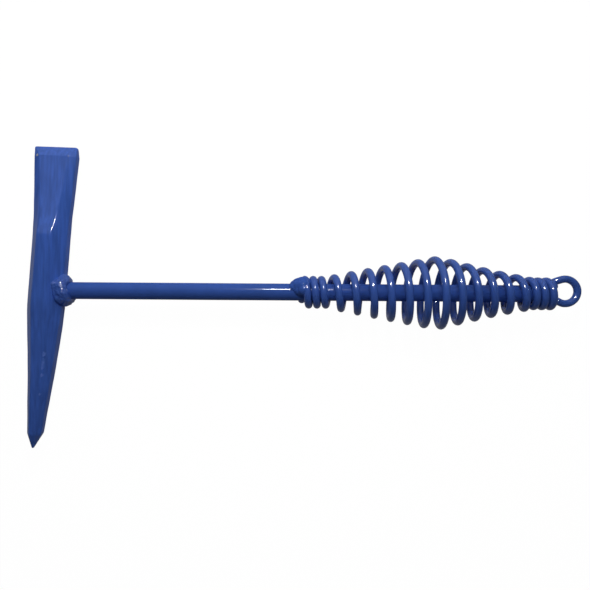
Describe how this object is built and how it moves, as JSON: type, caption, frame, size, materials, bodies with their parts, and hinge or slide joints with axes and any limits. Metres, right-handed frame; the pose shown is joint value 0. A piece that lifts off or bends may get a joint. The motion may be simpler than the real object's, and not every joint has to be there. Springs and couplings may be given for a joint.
{
  "type": "chipping hammer",
  "caption": "All-steel chipping hammer: forged chisel-and-pick head welded to a round rod, with a barrel-shaped coil-spring grip that ends in a hanging loop.",
  "frame": {"origin": "on the centreline of the rod, level with the centre of the hanging loop's eye, which is 1.5 mm above it in Y", "axes": "+X along the rod from the head to the loop, +Y along the head to the chisel edge, +Z out of the loop's face, the way a peg points"},
  "size_m": [0.3101, 0.169, 0.0412],
  "materials": {
    "forged_enamel": "gloss blue enamel over a forged surface",
    "bar_enamel": "gloss blue enamel over drawn bar",
    "wire_enamel": "gloss blue enamel over spring wire",
    "weld_enamel": "gloss blue enamel over rippled weld metal"
  },
  "bodies": {
    "root": {"head": "forged_enamel", "handle_rod": "bar_enamel", "grip_spring": "wire_enamel", "head_weld": "weld_enamel", "front_grip_weld": "weld_enamel", "rear_grip_weld": "weld_enamel"}
  },
  "joints": []
}
